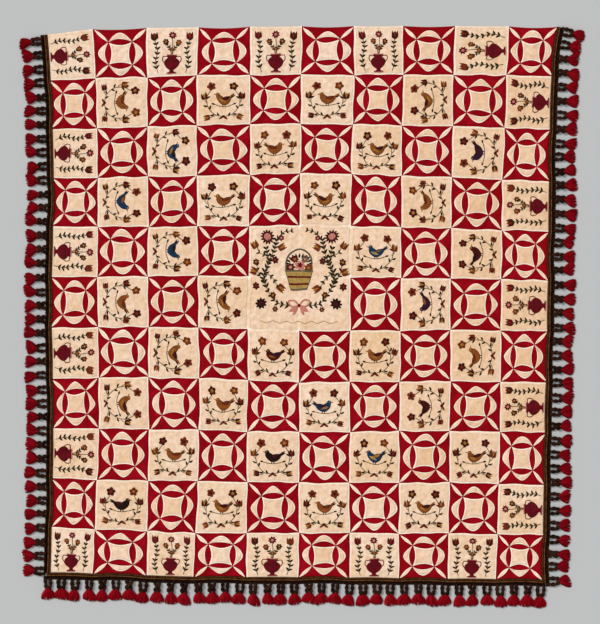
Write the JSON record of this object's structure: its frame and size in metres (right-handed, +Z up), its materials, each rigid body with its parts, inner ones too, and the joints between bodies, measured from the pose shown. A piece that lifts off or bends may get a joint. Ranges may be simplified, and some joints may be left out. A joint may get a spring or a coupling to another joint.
{
  "type": "pictorial quilt",
  "caption": "Pieced and embroidered cotton quilt, lying flat, with a woven braid and a looped wool tassel fringe on its two sides and bottom edge.",
  "frame": {"origin": "on the floor under the middle of the quilt with its fringe", "axes": "+Z up from the quilt's face, +Y towards its plain top edge, +X towards its right side"},
  "size_m": [2.5258, 2.5992, 0.013],
  "materials": {
    "patchwork_cotton": "plain-woven cotton, cream with pieced red, hand quilted",
    "braid_wool": "flat woven wool braid, golden brown",
    "fringe_wool": "wool fringe, brown-black loops with crimson tassels"
  },
  "bodies": {
    "root": {"quilt_cloth": "patchwork_cotton", "braid_left": "braid_wool", "braid_bottom": "braid_wool", "braid_right": "braid_wool", "fringe_left": "fringe_wool", "fringe_bottom": "fringe_wool", "fringe_right": "fringe_wool"}
  },
  "joints": []
}
